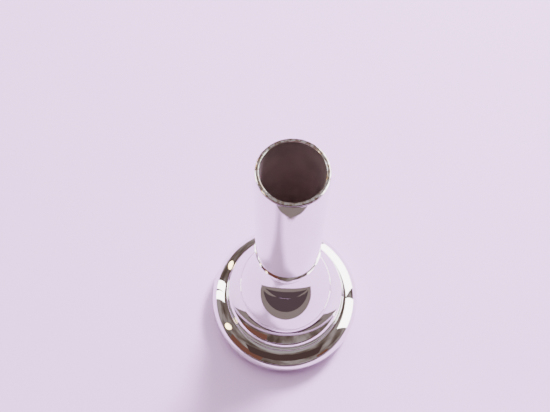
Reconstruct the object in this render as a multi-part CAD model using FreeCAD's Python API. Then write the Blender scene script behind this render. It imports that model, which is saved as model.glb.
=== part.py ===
import FreeCAD
import Part
import math
import os

# Three-piece brass mouthpiece standing on its rim, in millimetres.
# +Z runs along the bore from the rim to the shank's open end. Every outline
# is drawn in the half plane of radius and height, then turned about Z.

# rim
RIM_RADIUS = 19.0
RIM_EDGE_TOP = 4.4
RIM_EDGE_ROUND = 3.6
RIM_EDGE_TURN = 46.0
RIM_BACK_ROUND = 7.0
RIM_FACE_ROUND = 2.6
RIM_BITE_ROUND = 2.45
RIM_BITE_RADIUS = 12.7
RIM_SEAT_Z = 8.8
RIM_SOCKET_RADIUS = 14.05
RIM_SOCKET_FLOOR = 3.6
RIM_SOCKET_CHAMFER = 0.2
RIM_INNER_RADIUS = 12.6

# cup, outside; turns are the slope of the surface's normal above level, in degrees
BOWL_RADIUS = 11.54
BOWL_BOTTOM = 14.8
BOWL_TURN = 9.0
BOWL_ROUND = 29.5
FLARE_TURN = 35.4
NECK_ROUND = 10.6
COVE_SAG = 0.05
BEAD_RADIUS = 14.4
BEAD_Z = 10.54
BEAD_ROUND = 2.6
BEAD_TURN = 40.0
FOOT_RADIUS = 14.95
FOOT_Z = 9.0
FOOT_ROUND = 0.3
FOOT_FILLET = 0.1
COLLAR_RADIUS = 6.58
COLLAR_BOTTOM = 42.1
COLLAR_ROUND = 1.9
COLLAR_SLOPE = 100.0
COLLAR_CHAMFER = 0.32

# cup, inside
BOWL_MOUTH_RADIUS = 12.57
BOWL_MID = (9.43, 14.8)
BOWL_TOP = (3.9, 20.95)
THROAT_RADIUS = 3.1
THROAT_BOTTOM = 22.6
THROAT_TOP = 30.0
THROAT_SAG = 0.15

# cup skirt, screwed into the rim
SKIRT_BOTTOM = 3.7
SKIRT_ROOT = 13.54
SKIRT_CREST = 14.0
SKIRT_LAND = 13.98
SKIRT_THREAD_TOP = 7.2
SKIRT_GROOVE_RADIUS = 13.25
SKIRT_GROOVE = (7.5, 8.5)
SKIRT_TURNS = 3.6
SKIRT_THREAD_START = 4.35

# cup spigot, screwed into the shank
JOINT_Z = 43.6
SPIGOT_LAND = 4.98
SPIGOT_ROOT = 4.54
SPIGOT_CREST = 5.0
SPIGOT_GROOVE_RADIUS = 4.35
SPIGOT_GROOVE = (44.0, 45.0)
SPIGOT_THREAD_BOTTOM = 45.4
SPIGOT_TOP = 51.3
SPIGOT_BORE = 3.75
SPIGOT_TURNS = 6.4
SPIGOT_THREAD_START = 45.85
END_CHAMFER = 0.2

# thread form shared by both screw joints
THREAD_PITCH = 0.75
THREAD_BURY = 0.08
THREAD_BASE_HALF = 0.33
THREAD_CREST_HALF = 0.06

# shank
SHANK_FOOT_RADIUS = 6.44
SHANK_FOOT_ROUND = 0.15
SHANK_EASE_ROUND = 52.0
SHANK_EASE_START = 1.4
SHANK_EASE_END = 4.6
SHANK_TIP_RADIUS = 5.59
SHANK_TIP_ROUND = 0.42
SHANK_TOP = 76.0
SHANK_SOCKET_RADIUS = 5.05
SHANK_SOCKET_TOP = 51.4
BACKBORE_SAG = 0.12
BACKBORE_TIP_RADIUS = 4.9
BACKBORE_TIP_ROUND = 0.18

# seals
RIM_SEAL_RADIUS = 13.64
RIM_SEAL_CORD = 0.37
SHANK_SEAL_RADIUS = 4.70
SHANK_SEAL_CORD = 0.32


def point(radius, height):
    return FreeCAD.Vector(radius, 0, height)


def on_circle(centre, size, degrees):
    angle = math.radians(degrees)
    return (centre[0] + size * math.cos(angle), centre[1] + size * math.sin(angle))


def bend(centre, size, start, end):
    """An arc given by its centre: its middle point and its end point."""
    return on_circle(centre, size, (start + end) / 2), on_circle(centre, size, end)


def sag(start, end, depth):
    """An arc between two points, bowed to the left of the way from start to end."""
    run = (end[0] - start[0], end[1] - start[1])
    length = math.hypot(run[0], run[1])
    middle_r = (start[0] + end[0]) / 2 - depth * run[1] / length
    middle_z = (start[1] + end[1]) / 2 + depth * run[0] / length
    return (middle_r, middle_z), end


def turned(start, steps):
    """Turn a closed outline about Z. A step is a point, or an arc's middle and end."""
    edges = []
    here = start
    for step in steps:
        if isinstance(step[0], tuple):
            middle, end = step
            edges.append(Part.Arc(point(*here), point(*middle), point(*end)).toShape())
        else:
            end = step
            edges.append(Part.makeLine(point(*here), point(*end)))
        here = end
    if here != start:
        edges.append(Part.makeLine(point(*here), point(*start)))
    face = Part.Face(Part.Wire(edges))
    return face.revolve(FreeCAD.Vector(0, 0, 0), FreeCAD.Vector(0, 0, 1), 360)


def thread(root, crest, start_z, turns):
    """A right-hand screw thread's ridge, its foot sunk into the root cylinder."""
    foot = root - THREAD_BURY
    corners = [
        point(foot, -THREAD_BASE_HALF),
        point(crest, -THREAD_CREST_HALF),
        point(crest, THREAD_CREST_HALF),
        point(foot, THREAD_BASE_HALF),
    ]
    section = Part.makePolygon(corners + corners[:1])
    helix = Part.makeHelix(THREAD_PITCH, THREAD_PITCH * turns, root)
    ridge = Part.Wire(helix.Edges).makePipeShell([section], True, True)
    ridge.translate(FreeCAD.Vector(0, 0, start_z))
    return ridge


def rim():
    edge = (RIM_RADIUS - RIM_EDGE_ROUND, RIM_EDGE_TOP)
    edge_end = on_circle(edge, RIM_EDGE_ROUND, RIM_EDGE_TURN)
    back = on_circle(edge_end, -RIM_BACK_ROUND, RIM_EDGE_TURN)
    back_start = math.degrees(math.asin((RIM_SEAT_Z - back[1]) / RIM_BACK_ROUND))
    face = (RIM_RADIUS - RIM_FACE_ROUND, RIM_FACE_ROUND)
    bite = (RIM_BITE_RADIUS + RIM_BITE_ROUND, RIM_BITE_ROUND)
    return turned(on_circle(back, RIM_BACK_ROUND, back_start), [
        bend(back, RIM_BACK_ROUND, back_start, RIM_EDGE_TURN),
        bend(edge, RIM_EDGE_ROUND, RIM_EDGE_TURN, 0),
        (RIM_RADIUS, RIM_FACE_ROUND),
        bend(face, RIM_FACE_ROUND, 0, -90),
        (bite[0], 0),
        bend(bite, RIM_BITE_ROUND, -90, -180),
        (RIM_INNER_RADIUS, RIM_SOCKET_FLOOR),
        (RIM_SOCKET_RADIUS, RIM_SOCKET_FLOOR),
        (RIM_SOCKET_RADIUS, RIM_SEAT_Z - RIM_SOCKET_CHAMFER),
        (RIM_SOCKET_RADIUS + RIM_SOCKET_CHAMFER, RIM_SEAT_Z),
    ])


def skirt_steps():
    low, high = SKIRT_GROOVE
    return [
        (SKIRT_ROOT - END_CHAMFER, SKIRT_BOTTOM),
        (SKIRT_ROOT, SKIRT_BOTTOM + END_CHAMFER),
        (SKIRT_ROOT, SKIRT_THREAD_TOP),
        (SKIRT_LAND, SKIRT_THREAD_TOP),
        (SKIRT_LAND, low),
        (SKIRT_GROOVE_RADIUS, low),
        (SKIRT_GROOVE_RADIUS, high),
        (SKIRT_LAND, high),
        (SKIRT_LAND, RIM_SEAT_Z),
    ]


def flange_steps():
    foot = (FOOT_RADIUS - FOOT_ROUND, FOOT_Z)
    fillet = (BEAD_RADIUS + FOOT_FILLET, FOOT_Z + FOOT_ROUND + FOOT_FILLET)
    bead = (BEAD_RADIUS - BEAD_ROUND, BEAD_Z)
    bead_end = on_circle(bead, BEAD_ROUND, BEAD_TURN)
    return [
        (FOOT_RADIUS, RIM_SEAT_Z),
        (FOOT_RADIUS, FOOT_Z),
        bend(foot, FOOT_ROUND, 0, 90),
        bend(fillet, FOOT_FILLET, -90, -180),
        (BEAD_RADIUS, BEAD_Z),
        bend(bead, BEAD_ROUND, 0, BEAD_TURN),
        sag(bead_end, (BOWL_RADIUS, BOWL_BOTTOM), COVE_SAG),
    ]


def bowl_steps():
    """The bowl bulges up from the cove, then hollows into the neck."""
    bowl = on_circle((BOWL_RADIUS, BOWL_BOTTOM), -BOWL_ROUND, BOWL_TURN)
    bowl_end = on_circle(bowl, BOWL_ROUND, FLARE_TURN)
    neck = on_circle(bowl_end, NECK_ROUND, FLARE_TURN)
    neck_radius = neck[0] - NECK_ROUND
    collar = (neck_radius + COLLAR_ROUND, COLLAR_BOTTOM - COLLAR_ROUND)
    return [
        bend(bowl, BOWL_ROUND, BOWL_TURN, FLARE_TURN),
        bend(neck, NECK_ROUND, 180 + FLARE_TURN, 180),
        (neck_radius, collar[1]),
        bend(collar, COLLAR_ROUND, 180, COLLAR_SLOPE),
        (COLLAR_RADIUS, COLLAR_BOTTOM),
        (COLLAR_RADIUS, JOINT_Z - COLLAR_CHAMFER),
        (COLLAR_RADIUS - COLLAR_CHAMFER, JOINT_Z),
    ]


def spigot_steps():
    low, high = SPIGOT_GROOVE
    return [
        (SPIGOT_LAND, JOINT_Z),
        (SPIGOT_LAND, low),
        (SPIGOT_GROOVE_RADIUS, low),
        (SPIGOT_GROOVE_RADIUS, high),
        (SPIGOT_LAND, high),
        (SPIGOT_LAND, SPIGOT_THREAD_BOTTOM),
        (SPIGOT_ROOT, SPIGOT_THREAD_BOTTOM),
        (SPIGOT_ROOT, SPIGOT_TOP - END_CHAMFER),
        (SPIGOT_ROOT - END_CHAMFER, SPIGOT_TOP),
    ]


def inside_steps():
    throat_start = (THROAT_RADIUS, THROAT_BOTTOM)
    return [
        (SPIGOT_BORE, SPIGOT_TOP),
        (THROAT_RADIUS, THROAT_TOP),
        throat_start,
        sag(throat_start, BOWL_TOP, -THROAT_SAG),
        (BOWL_MID, (BOWL_MOUTH_RADIUS, SKIRT_BOTTOM)),
    ]


def cup():
    steps = skirt_steps() + flange_steps() + bowl_steps() + spigot_steps() + inside_steps()
    start = steps[-1][1]
    body = turned(start, steps)
    lower = thread(SKIRT_ROOT, SKIRT_CREST, SKIRT_THREAD_START, SKIRT_TURNS)
    upper = thread(SPIGOT_ROOT, SPIGOT_CREST, SPIGOT_THREAD_START, SPIGOT_TURNS)
    return body.fuse([lower, upper]).Solids[0]


def shank():
    foot = (SHANK_FOOT_RADIUS - SHANK_FOOT_ROUND, JOINT_Z + SHANK_FOOT_ROUND)
    tip_radius = on_circle((SHANK_TIP_RADIUS, 0), -SHANK_TIP_ROUND, SHANK_EASE_END)[0]
    tip = (tip_radius, SHANK_TOP - SHANK_TIP_ROUND)
    tip_start = on_circle(tip, SHANK_TIP_ROUND, SHANK_EASE_END)
    ease = on_circle(tip_start, -SHANK_EASE_ROUND, SHANK_EASE_END)
    lip = (BACKBORE_TIP_RADIUS + BACKBORE_TIP_ROUND, SHANK_TOP - BACKBORE_TIP_ROUND)
    backbore = (SPIGOT_BORE, SHANK_SOCKET_TOP)
    return turned((SHANK_SOCKET_RADIUS, JOINT_Z), [
        (foot[0], JOINT_Z),
        bend(foot, SHANK_FOOT_ROUND, -90, 0),
        on_circle(ease, SHANK_EASE_ROUND, SHANK_EASE_START),
        bend(ease, SHANK_EASE_ROUND, SHANK_EASE_START, SHANK_EASE_END),
        bend(tip, SHANK_TIP_ROUND, SHANK_EASE_END, 90),
        (lip[0], SHANK_TOP),
        bend(lip, BACKBORE_TIP_ROUND, 90, 180),
        sag(on_circle(lip, BACKBORE_TIP_ROUND, 180), backbore, BACKBORE_SAG),
        (SHANK_SOCKET_RADIUS, SHANK_SOCKET_TOP),
    ])


def seal(radius, cord, groove):
    ring = Part.makeTorus(radius, cord)
    ring.translate(FreeCAD.Vector(0, 0, (groove[0] + groove[1]) / 2))
    return ring


NODES = {
    "rim": rim(),
    "cup": cup(),
    "shank": shank(),
    "cup_o_ring": seal(RIM_SEAL_RADIUS, RIM_SEAL_CORD, SKIRT_GROOVE),
    "shank_o_ring": seal(SHANK_SEAL_RADIUS, SHANK_SEAL_CORD, SPIGOT_GROOVE),
}

os.makedirs("parts", exist_ok=True)
for name, shape in NODES.items():
    shape.exportStep("parts/" + name + ".step")
    print(name, shape.ShapeType, len(shape.Solids), shape.isValid(), round(shape.Volume, 2))
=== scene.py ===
import math

import bpy
from mathutils import Matrix, Vector


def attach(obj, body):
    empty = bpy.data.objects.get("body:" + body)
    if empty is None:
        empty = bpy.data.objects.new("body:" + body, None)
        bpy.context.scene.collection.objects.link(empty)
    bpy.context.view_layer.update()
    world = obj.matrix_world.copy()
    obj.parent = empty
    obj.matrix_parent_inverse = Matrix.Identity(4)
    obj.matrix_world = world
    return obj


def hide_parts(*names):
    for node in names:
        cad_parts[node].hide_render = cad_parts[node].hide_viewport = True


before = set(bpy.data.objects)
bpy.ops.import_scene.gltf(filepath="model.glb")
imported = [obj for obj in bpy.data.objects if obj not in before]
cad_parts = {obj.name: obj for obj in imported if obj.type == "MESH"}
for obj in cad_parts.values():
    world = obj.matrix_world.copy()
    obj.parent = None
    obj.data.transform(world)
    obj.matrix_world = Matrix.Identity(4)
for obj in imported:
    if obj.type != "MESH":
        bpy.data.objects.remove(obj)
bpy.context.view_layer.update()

MM = 0.001
SEGMENTS = 288
ARC_STEP = 2.5          # degrees of arc in one band of a turned mesh
LEAST_CUTS = 6          # bands in the shallowest arc
THREAD_PITCH = 0.75
THREAD_BURY = 0.08
THREAD_BASE_HALF = 0.33
THREAD_CREST_HALF = 0.06
THREAD_SEGMENTS = 96    # steps in one turn of thread
THREAD_FADE = 0.3       # part of a turn over which a thread rises from nothing
SHADE_LIFT_DEPTH = 22.0    # how far down the bore the colour is painted lighter, to make up for the shade that falls deeper in
SAME_POINT = 1e-6

# Outlines are in millimetres, as radius and height, and match the CAD part.
JOINT_Z = 43.6          # where the shank meets the cup
SEAT_Z = 8.8            # where the cup meets the rim
TOP_Z = 76.0            # the shank's open end


# ---------------------------------------------------------------- turned shapes
def on_circle(centre, size, degrees):
    angle = math.radians(degrees)
    return (centre[0] + size * math.cos(angle), centre[1] + size * math.sin(angle))


def arc(centre, size, start, end):
    return ("arc", centre, size, start, end)


def circle_through(a, b, c):
    """Centre of the circle through three points."""
    ax, ay = a[0] - c[0], a[1] - c[1]
    bx, by = b[0] - c[0], b[1] - c[1]
    d = 2 * (ax * by - ay * bx)
    la, lb = ax * ax + ay * ay, bx * bx + by * by
    return (c[0] + (la * by - lb * ay) / d, c[1] + (lb * ax - la * bx) / d)


def arc_between(start, middle, end):
    """The arc from start to end that passes through middle."""
    centre = circle_through(start, middle, end)
    size = math.hypot(start[0] - centre[0], start[1] - centre[1])
    first = math.degrees(math.atan2(start[1] - centre[1], start[0] - centre[0]))
    last = math.degrees(math.atan2(end[1] - centre[1], end[0] - centre[0]))
    swing = (last - first + 180) % 360 - 180
    return arc(centre, size, first, first + swing)


def bowed(start, end, depth):
    """An arc between two points, bowed to the left of the way from start to end."""
    run = (end[0] - start[0], end[1] - start[1])
    length = math.hypot(run[0], run[1])
    middle = ((start[0] + end[0]) / 2 - depth * run[1] / length,
              (start[1] + end[1]) / 2 + depth * run[0] / length)
    return arc_between(start, middle, end)


def strips(start, steps):
    """Cut an outline into short bands: two points, the normal at each, and a finish."""
    bands = []
    here = start
    finish = 0
    for step in steps:
        if isinstance(step, int):
            finish = step
        elif step[0] == "arc":
            _, centre, size, first, last = step
            count = max(LEAST_CUTS, math.ceil(abs(last - first) / ARC_STEP))
            way = 1 if last > first else -1
            for k in range(count):
                a = first + (last - first) * k / count
                b = first + (last - first) * (k + 1) / count
                pa, pb = on_circle(centre, size, a), on_circle(centre, size, b)
                na, nb = on_circle((0, 0), way, a), on_circle((0, 0), way, b)
                bands.append((here if k == 0 else pa, na, pb, nb, finish))
            here = on_circle(centre, size, last)
        else:
            if math.dist(here, step) < SAME_POINT:
                continue
            length = math.dist(here, step)
            normal = ((step[1] - here[1]) / length, -(step[0] - here[0]) / length)
            bands.append((here, normal, step, normal, finish))
            here = step
    return bands


def turned(name, start, steps, body, node, finishes):
    """Turn a closed anticlockwise outline about Z into a smooth closed mesh."""
    bands = strips(start, steps)
    count = len(bands)
    verts, faces, normals, marks = [], [], [], []
    ring = [(math.cos(2 * math.pi * j / SEGMENTS), math.sin(2 * math.pi * j / SEGMENTS))
            for j in range(SEGMENTS)]
    for low, _, _, _, _ in bands:
        for c, s in ring:
            verts.append((low[0] * c * MM, low[0] * s * MM, low[1] * MM))
    for i, (_, na, _, nb, finish) in enumerate(bands):
        k = (i + 1) % count
        for j in range(SEGMENTS):
            m = (j + 1) % SEGMENTS
            faces.append((i * SEGMENTS + j, i * SEGMENTS + m, k * SEGMENTS + m, k * SEGMENTS + j))
            for (nr, nz), col in ((na, j), (na, m), (nb, m), (nb, j)):
                normals.append((nr * ring[col][0], nr * ring[col][1], nz))
            marks.append(finish)
    mesh = bpy.data.meshes.new(name)
    mesh.from_pydata(verts, [], faces)
    mesh.polygons.foreach_set("use_smooth", [True] * len(faces))
    for material in finishes:
        mesh.materials.append(material)
    mesh.polygons.foreach_set("material_index", marks)
    mesh.normals_split_custom_set(normals)
    mesh.update()
    piece = bpy.data.objects.new(name, mesh)
    bpy.context.scene.collection.objects.link(piece)
    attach(piece, body)
    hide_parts(node)


def thread(name, root, crest, start_z, turns, body, material):
    """A right-hand thread ridge that fades in and out over its first and last part turn."""
    low, base, tip = root - THREAD_BURY, THREAD_BASE_HALF, THREAD_CREST_HALF
    count = round(turns * THREAD_SEGMENTS)
    fade = THREAD_SEGMENTS * THREAD_FADE
    verts, faces = [], []
    for i in range(count + 1):
        a = 2 * math.pi * i / THREAD_SEGMENTS
        z = start_z + THREAD_PITCH * i / THREAD_SEGMENTS
        rise = min(1.0, 0.06 + i / fade, 0.06 + (count - i) / fade)
        top = root + (crest - root) * rise
        for r, dz in ((low, -base), (top, -tip), (top, tip), (low, base)):
            verts.append((r * math.cos(a) * MM, r * math.sin(a) * MM, (z + dz) * MM))
    for i in range(count):
        a, b = 4 * i, 4 * (i + 1)
        for k in range(4):
            m = (k + 1) % 4
            faces.append((a + k, b + k, b + m, a + m))
    faces.append((0, 1, 2, 3))
    last = 4 * count
    faces.append((last + 3, last + 2, last + 1, last))
    mesh = bpy.data.meshes.new(name)
    mesh.from_pydata(verts, [], faces)
    mesh.polygons.foreach_set("use_smooth", [True] * len(faces))
    mesh.materials.append(material)
    mesh.update()
    mesh.set_sharp_from_angle(angle=math.radians(30))
    piece = bpy.data.objects.new(name, mesh)
    bpy.context.scene.collection.objects.link(piece)
    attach(piece, body)


# -------------------------------------------------------------------- materials
def shader(name):
    material = bpy.data.materials.new(name)
    material.use_nodes = True
    tree = material.node_tree
    return material, tree, tree.nodes["Principled BSDF"]


def ramp(tree, stops, source):
    made = tree.nodes.new("ShaderNodeValToRGB")
    elements = made.color_ramp.elements
    while len(elements) < len(stops):
        elements.new(0.5)
    for element, (position, colour) in zip(elements, stops):
        element.position = position
        element.color = (*colour, 1)
    tree.links.new(source, made.inputs["Fac"])
    return made.outputs["Color"]


def grey(value):
    return (value, value, value)


def noise(tree, coords, scale, detail=4.0, roughness=0.55, stretch=None):
    made = tree.nodes.new("ShaderNodeTexNoise")
    made.inputs["Scale"].default_value = scale
    made.inputs["Detail"].default_value = detail
    made.inputs["Roughness"].default_value = roughness
    if stretch:
        mapping = tree.nodes.new("ShaderNodeMapping")
        mapping.inputs["Scale"].default_value = stretch
        tree.links.new(coords, mapping.inputs["Vector"])
        coords = mapping.outputs["Vector"]
    tree.links.new(coords, made.inputs["Vector"])
    return made.outputs["Fac"]


def maths(tree, operation, a, b=None, clamp=False):
    made = tree.nodes.new("ShaderNodeMath")
    made.operation = operation
    made.use_clamp = clamp
    for socket, value in zip(made.inputs, (a, b)):
        if value is None:
            continue
        if isinstance(value, (int, float)):
            socket.default_value = value
        else:
            tree.links.new(value, socket)
    return made.outputs[0]


def bump(tree, bsdf, height, strength, distance):
    made = tree.nodes.new("ShaderNodeBump")
    made.inputs["Strength"].default_value = strength
    made.inputs["Distance"].default_value = distance
    tree.links.new(height, made.inputs["Height"])
    tree.links.new(made.outputs["Normal"], bsdf.inputs["Normal"])


def blend_colour(tree, factor, a, b):
    made = tree.nodes.new("ShaderNodeMix")
    made.data_type = "RGBA"
    tree.links.new(factor, made.inputs["Factor"])
    colour_a = [s for s in made.inputs if s.name == "A" and s.type == "RGBA"][0]
    colour_b = [s for s in made.inputs if s.name == "B" and s.type == "RGBA"][0]
    for socket, value in ((colour_a, a), (colour_b, b)):
        if isinstance(value, tuple):
            socket.default_value = (*value, 1)
        else:
            tree.links.new(value, socket)
    return [s for s in made.outputs if s.type == "RGBA"][0]


def place(tree):
    """Object coordinates in metres, and height in millimetres."""
    coords = tree.nodes.new("ShaderNodeTexCoord").outputs["Object"]
    split = tree.nodes.new("ShaderNodeSeparateXYZ")
    tree.links.new(coords, split.inputs[0])
    return coords, maths(tree, "MULTIPLY", split.outputs["Z"], 1000.0)


def near(tree, height, level, spread):
    """1 at a height in millimetres, falling to 0 at a distance of spread."""
    away = maths(tree, "ABSOLUTE", maths(tree, "SUBTRACT", height, level))
    return maths(tree, "SUBTRACT", 1.0, maths(tree, "DIVIDE", away, spread), clamp=True)


def silver_plate(name, grime_levels, wear_level=None):
    """Polished silver plate: faint bloom, hairlines, grime at the joints, brass at worn edges."""
    material, tree, bsdf = shader(name)
    coords, height = place(tree)
    bloom = noise(tree, coords, 90.0, 5.0)
    colour = ramp(tree, [(0.35, (0.905, 0.885, 0.895)), (0.75, (0.86, 0.825, 0.82))], bloom)
    for level in grime_levels:
        band = near(tree, height, level, 0.16)
        broken = maths(tree, "MULTIPLY", band, ramp(tree, [(0.3, grey(0.5)), (0.6, grey(1.0))],
                                                    noise(tree, coords, 900.0)))
        colour = blend_colour(tree, broken, colour, (0.20, 0.15, 0.12))
    rough = ramp(tree, [(0.3, grey(0.014)), (0.7, grey(0.034))], noise(tree, coords, 240.0, 6.0))
    if wear_level is not None:
        edge = near(tree, height, wear_level, 0.55)
        speckle = ramp(tree, [(0.46, grey(0.0)), (0.56, grey(1.0))], noise(tree, coords, 1900.0, 3.0))
        worn = maths(tree, "MULTIPLY", edge, speckle)
        colour = blend_colour(tree, worn, colour, (0.52, 0.43, 0.36))
        rough = maths(tree, "ADD", rough, maths(tree, "MULTIPLY", edge, 0.16))
    tree.links.new(colour, bsdf.inputs["Base Color"])
    tree.links.new(rough, bsdf.inputs["Roughness"])
    hair = noise(tree, coords, 1500.0, 2.0, stretch=(1.0, 1.0, 9.0))
    dent = noise(tree, coords, 1300.0, 3.0)
    grain = maths(tree, "MULTIPLY", hair, 0.02)
    if wear_level is not None:
        knocks = maths(tree, "MULTIPLY", near(tree, height, wear_level, 0.5), dent)
        grain = maths(tree, "ADD", grain, knocks)
    bump(tree, bsdf, grain, 1.0, 0.00004)
    bsdf.inputs["Metallic"].default_value = 1.0
    return material


def tarnished_bore(name):
    """The inside of the bore: brown tarnish, painted lighter further down to make up for the shade
    deeper in the bore, with turning marks.
    """
    material, tree, bsdf = shader(name)
    coords, height = place(tree)
    blotch = noise(tree, coords, 260.0, 6.0)
    open_end_tarnish = ramp(tree, [(0.3, (0.25, 0.205, 0.20)), (0.7, (0.33, 0.27, 0.265))], blotch)
    # Painted light: this lighter copy of the tarnish colour is used deeper in the bore to cancel the
    # shade that falls there.
    light = ramp(tree, [(0.3, (0.66, 0.54, 0.52)), (0.7, (0.80, 0.67, 0.64))], blotch)
    depth = maths(tree, "DIVIDE", maths(tree, "SUBTRACT", TOP_Z, height), SHADE_LIFT_DEPTH,
                  clamp=True)
    colour = blend_colour(tree, depth, open_end_tarnish, light)
    tree.links.new(colour, bsdf.inputs["Base Color"])
    rough = ramp(tree, [(0.3, grey(0.38)), (0.7, grey(0.5))], noise(tree, coords, 500.0))
    tree.links.new(rough, bsdf.inputs["Roughness"])
    marks = noise(tree, coords, 2200.0, 2.0, stretch=(0.15, 0.15, 3.0))
    bump(tree, bsdf, marks, 0.5, 0.00003)
    bsdf.inputs["Metallic"].default_value = 0.4
    return material


def raw_brass(name):
    """Unplated brass of the threads and sockets, with fine tool marks."""
    material, tree, bsdf = shader(name)
    coords, _ = place(tree)
    colour = ramp(tree, [(0.3, (0.70, 0.49, 0.22)), (0.7, (0.80, 0.60, 0.31))],
                  noise(tree, coords, 420.0, 5.0))
    tree.links.new(colour, bsdf.inputs["Base Color"])
    rough = ramp(tree, [(0.3, grey(0.20)), (0.7, grey(0.34))], noise(tree, coords, 900.0))
    tree.links.new(rough, bsdf.inputs["Roughness"])
    marks = noise(tree, coords, 2500.0, 2.0, stretch=(0.1, 0.1, 4.0))
    bump(tree, bsdf, marks, 0.4, 0.00002)
    bsdf.inputs["Metallic"].default_value = 1.0
    return material


def seal_rubber(name):
    """Black rubber, faintly uneven."""
    material, tree, bsdf = shader(name)
    coords, _ = place(tree)
    colour = ramp(tree, [(0.3, (0.018, 0.018, 0.019)), (0.7, (0.035, 0.034, 0.034))],
                  noise(tree, coords, 800.0))
    tree.links.new(colour, bsdf.inputs["Base Color"])
    rough = ramp(tree, [(0.3, grey(0.42)), (0.7, grey(0.6))], noise(tree, coords, 1500.0))
    tree.links.new(rough, bsdf.inputs["Roughness"])
    bump(tree, bsdf, noise(tree, coords, 4000.0), 0.4, 0.00002)
    return material


RIM_PLATE = silver_plate("rim_silver_plate", [SEAT_Z])
CUP_PLATE = silver_plate("cup_silver_plate", [SEAT_Z, JOINT_Z])
SHANK_PLATE = silver_plate("shank_silver_plate", [JOINT_Z], TOP_Z)
BORE = tarnished_bore("tarnished_bore")
BRASS = raw_brass("raw_brass")
RUBBER = seal_rubber("seal_rubber")


# ----------------------------------------------------------------------- pieces
def make_rim():
    edge, edge_round, edge_turn = (15.4, 4.4), 3.6, 46
    back_round = 7.0
    back = on_circle(on_circle(edge, edge_round, edge_turn), -back_round, edge_turn)
    face, face_round = (16.4, 2.6), 2.6
    bite, bite_round = (15.15, 2.45), 2.45
    lip = math.degrees(math.asin((SEAT_Z - back[1]) / back_round))
    start = (14.25, SEAT_Z)
    steps = [
        1, (14.05, 8.6), (14.05, 3.6), (12.6, 3.6),
        0, (12.7, bite[1]),
        arc(bite, bite_round, 180, 270),
        (face[0], 0.0),
        arc(face, face_round, -90, 0),
        (19.0, edge[1]),
        arc(edge, edge_round, 0, edge_turn),
        arc(back, back_round, edge_turn, lip),
        start,
    ]
    turned("rim_ring", start, steps, "rim", "rim", [RIM_PLATE, BRASS])


def make_cup():
    start = (12.57, 3.7)
    skirt = [
        1, (13.34, 3.7), (13.54, 3.9), (13.54, 7.2), (13.98, 7.2), (13.98, 7.5),
        (13.25, 7.5), (13.25, 8.5), (13.98, 8.5), (13.98, SEAT_Z),
    ]
    bead, bead_round, bead_turn = (11.8, 10.54), 2.6, 40
    flange = [
        0, (14.95, SEAT_Z), (14.95, 9.0),
        arc((14.65, 9.0), 0.3, 0, 90),
        arc((14.5, 9.4), 0.1, -90, -180),
        (14.4, bead[1]),
        arc(bead, bead_round, 0, bead_turn),
        bowed(on_circle(bead, bead_round, bead_turn), (11.54, 14.8), 0.05),
    ]
    bulge_round, neck_round, flare_turn = 29.5, 10.6, 35.4
    bulge = on_circle((11.54, 14.8), -bulge_round, 9)
    neck = on_circle(on_circle(bulge, bulge_round, flare_turn), neck_round, flare_turn)
    neck_radius = neck[0] - neck_round
    collar, collar_round = (neck_radius + 1.9, 40.2), 1.9
    bowl = [
        arc(bulge, bulge_round, 9, flare_turn),
        arc(neck, neck_round, 180 + flare_turn, 180),
        (neck_radius, collar[1]),
        arc(collar, collar_round, 180, 100),
        (6.58, 42.1), (6.58, JOINT_Z - 0.32), (6.26, JOINT_Z),
    ]
    spigot = [
        1, (4.98, JOINT_Z), (4.98, 44.0), (4.35, 44.0), (4.35, 45.0), (4.98, 45.0),
        (4.98, 45.4), (4.54, 45.4), (4.54, 51.1), (4.34, 51.3), (3.75, 51.3),
    ]
    inside = [
        2, (3.1, 30.0), (3.1, 22.6),
        0, bowed((3.1, 22.6), (3.9, 20.95), -0.15),
        arc_between((3.9, 20.95), (9.43, 14.8), start),
    ]
    turned("cup_bowl", start, skirt + flange + bowl + spigot + inside,
           "cup", "cup", [CUP_PLATE, BRASS, BORE])
    thread("skirt_thread", 13.54, 14.0, 4.35, 3.6, "cup", BRASS)
    thread("spigot_thread", 4.54, 5.0, 45.85, 6.4, "cup", BRASS)


def make_shank():
    start = (5.05, JOINT_Z)
    ease_round, ease_start, ease_end = 52.0, 1.4, 4.6
    tip_round = 0.42
    tip = (on_circle((5.59, 0), -tip_round, ease_end)[0], TOP_Z - tip_round)
    ease = on_circle(on_circle(tip, tip_round, ease_end), -ease_round, ease_end)
    lip, lip_round = (5.08, TOP_Z - 0.18), 0.18
    steps = [
        0, (6.29, JOINT_Z),
        arc((6.29, JOINT_Z + 0.15), 0.15, -90, 0),
        on_circle(ease, ease_round, ease_start),
        arc(ease, ease_round, ease_start, ease_end),
        arc(tip, tip_round, ease_end, 90),
        (lip[0], TOP_Z),
        arc(lip, lip_round, 90, 180),
        2, bowed((4.9, lip[1]), (3.75, 51.4), 0.12),
        1, (5.05, 51.4), start,
    ]
    turned("shank_tube", start, steps, "shank", "shank", [SHANK_PLATE, BRASS, BORE])


make_rim()
make_cup()
make_shank()
for seal in ("cup_o_ring", "shank_o_ring"):
    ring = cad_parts[seal]
    ring.data.materials.clear()
    ring.data.materials.append(RUBBER)


# ------------------------------------------------------------------------ stage
def sheet(name, corners, material):
    mesh = bpy.data.meshes.new(name)
    mesh.from_pydata([Vector(c) * MM for c in corners], [], [tuple(range(len(corners)))])
    mesh.materials.append(material)
    made = bpy.data.objects.new(name, mesh)
    bpy.context.scene.collection.objects.link(made)
    return made


def glow(name, colour, strength):
    material = bpy.data.materials.new(name)
    material.use_nodes = True
    tree = material.node_tree
    tree.nodes.clear()
    emit = tree.nodes.new("ShaderNodeEmission")
    emit.inputs["Color"].default_value = (*colour, 1)
    emit.inputs["Strength"].default_value = strength
    out = tree.nodes.new("ShaderNodeOutputMaterial")
    tree.links.new(emit.outputs[0], out.inputs["Surface"])
    return material


def unlit(made):
    """Keep a glowing sheet from lighting or shading anything."""
    made.visible_diffuse = False
    made.visible_shadow = False
    made.visible_transmission = False


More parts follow.
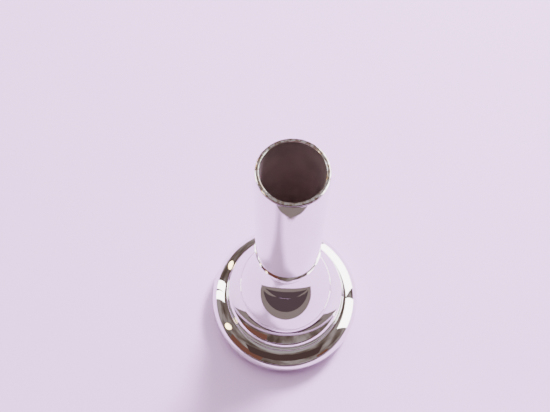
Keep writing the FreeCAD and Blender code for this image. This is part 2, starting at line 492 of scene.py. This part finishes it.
def mirrored_only(card):
    """A studio card that only shows in the metal."""
    card.visible_camera = False
    unlit(card)


def paper(name):
    """The pale sheet that the object stands on."""
    material, tree, bsdf = shader(name)
    coords = tree.nodes.new("ShaderNodeTexCoord").outputs["Object"]
    colour = ramp(tree, [(0.3, (0.785, 0.54, 0.88)), (0.7, (0.80, 0.555, 0.895))],
                  noise(tree, coords, 30.0, 6.0))
    tree.links.new(colour, bsdf.inputs["Base Color"])
    bsdf.inputs["Roughness"].default_value = 0.95
    return material


def facing_card(name, azimuth, elevation, distance, width, height, material, outline):
    """A flat card facing the object, at an azimuth from +X towards +Y."""
    a, e = math.radians(azimuth), math.radians(elevation)
    out = Vector((math.cos(e) * math.cos(a), math.cos(e) * math.sin(a), math.sin(e)))
    side = Vector((-math.sin(a), math.cos(a), 0))
    up = out.cross(side)
    centre = out * distance
    corners = [centre + side * (x * width / 2) + up * (y * height / 2)
               for x, y in outline]
    mirrored_only(sheet(name, corners, material))


floor = sheet("floor", [(-2500, -2500, 0), (2500, -2500, 0), (2500, 2500, 0), (-2500, 2500, 0)],
              paper("pale_paper"))

def low_card(name, near_edge, far_edge, half_width, height, colour):
    """A dark sheet lying in front of the object: the pale surface ends at its near edge."""
    corners = [(-half_width, near_edge, height), (-half_width, far_edge, height),
               (half_width, far_edge, height), (half_width, near_edge, height)]
    mirrored_only(sheet(name, corners, glow(name + "_glow", colour, 1.0)))


low_card("near_grey_card", -38.8, -300, 300, 0.6, (0.30, 0.235, 0.225))
low_card("near_dark_card", -62, -290, 110, 0.9, (0.105, 0.07, 0.082))
DARK_ROOM = glow("dark_room", (0.085, 0.052, 0.05), 1.0)
RED_ROOM = glow("red_room", (0.21, 0.088, 0.065), 1.0)
CEILING = glow("ceiling_glow", (0.46, 0.41, 0.42), 1.0)
WINDOW = glow("window_glow", (1.0, 0.97, 0.94), 9.0)
LAMP = glow("lamp_glow", (1.0, 0.78, 0.42), 9.0)
def backdrop():
    """A pale wall far behind the floor, seen by the camera alone."""
    sides, radius = 24, 1100
    ring = [on_circle((0, 0), radius, 360 / sides * k) for k in range(sides)]
    verts = [(x * MM, y * MM, z) for z in (-0.05, 4.0) for x, y in ring]
    faces = [(k, (k + 1) % sides, sides + (k + 1) % sides, sides + k) for k in range(sides)]
    mesh = bpy.data.meshes.new("backdrop")
    mesh.from_pydata(verts, [], faces)
    mesh.materials.append(glow("backdrop_glow", (0.80, 0.64, 0.90), 2.0))
    wall = bpy.data.objects.new("backdrop", mesh)
    bpy.context.scene.collection.objects.link(wall)
    wall.visible_glossy = False
    unlit(wall)


backdrop()
SQUARE = ((-1, -1), (1, -1), (1, 1), (-1, 1))
ROUND = [on_circle((0, 0), 1, 15 * k) for k in range(24)]
facing_card("person", -90, 38, 300, 420, 135, DARK_ROOM, SQUARE)
facing_card("red_corner", -132, 15, 420, 280, 170, RED_ROOM, SQUARE)
facing_card("red_shelf", -50, 11, 420, 90, 60, RED_ROOM, SQUARE)
facing_card("left_window_near", 159, 19, 420, 55, 330, WINDOW, SQUARE)
facing_card("left_window_far", 168, 19, 420, 55, 330, WINDOW, SQUARE)
facing_card("right_window_near", -4, 19, 420, 200, 310, WINDOW, SQUARE)
facing_card("right_window_far", 39, 19, 420, 330, 310, WINDOW, SQUARE)
facing_card("ceiling", 90, 90, 420, 560, 560, CEILING, ROUND)
facing_card("lamp_back", 139, 27, 400, 44, 170, LAMP, ROUND)
facing_card("lamp_front", -161, 25, 400, 46, 170, LAMP, ROUND)


# ------------------------------------------------------------- light and camera
def add_area(name, azimuth, elevation, distance, width, height, power, colour):
    light = bpy.data.lights.new(name, "AREA")
    light.shape = "RECTANGLE"
    light.size = width * MM
    light.size_y = height * MM
    light.energy = power
    light.color = colour
    a, e = math.radians(azimuth), math.radians(elevation)
    out = Vector((math.cos(e) * math.cos(a), math.cos(e) * math.sin(a), math.sin(e)))
    lamp = bpy.data.objects.new(name, light)
    lamp.location = out * distance * MM
    lamp.rotation_euler = out.to_track_quat("Z", "Y").to_euler()
    lamp.visible_glossy = False
    bpy.context.scene.collection.objects.link(lamp)


add_area("key_window", 57, 43, 900, 190, 190, 29.0, (0.93, 0.72, 1.0))
add_area("left_fill", 170, 35, 900, 300, 400, 1.6, (1.0, 0.95, 1.0))
add_area("ceiling_bounce", 80, 68, 1100, 1100, 900, 17.0, (1.0, 0.84, 0.99))

CAMERA_AT = (-2.3, -35.7, 144.8)
CAMERA_VIEW = (-0.003, 0.402, -0.916)
camera_data = bpy.data.cameras.new("camera")
camera_data.lens = 35.35
camera_data.sensor_width = 36.0
camera_data.clip_start = 0.005
camera_data.clip_end = 20.0
camera = bpy.data.objects.new("camera", camera_data)
view = Vector(CAMERA_VIEW).normalized()
up = (Vector((0, 0, 1)) - view * view.z).normalized()
right = view.cross(up)
turn = Matrix((right, up, -view)).transposed()
camera.matrix_world = Matrix.Translation(Vector(CAMERA_AT) * MM) @ turn.to_4x4()
bpy.context.scene.collection.objects.link(camera)
bpy.context.scene.camera = camera

world = bpy.data.worlds.new("room")
world.use_nodes = True
bpy.context.scene.world = world
tree = world.node_tree
background = tree.nodes["Background"]
where = tree.nodes.new("ShaderNodeTexCoord").outputs["Generated"]
colour = ramp(tree, [(0.36, (0.10, 0.068, 0.058)), (0.5, (0.20, 0.155, 0.14)),
                     (0.64, (0.40, 0.34, 0.33))], noise(tree, where, 2.6, 3.0))
tree.links.new(colour, background.inputs["Color"])
background.inputs["Strength"].default_value = 1.0
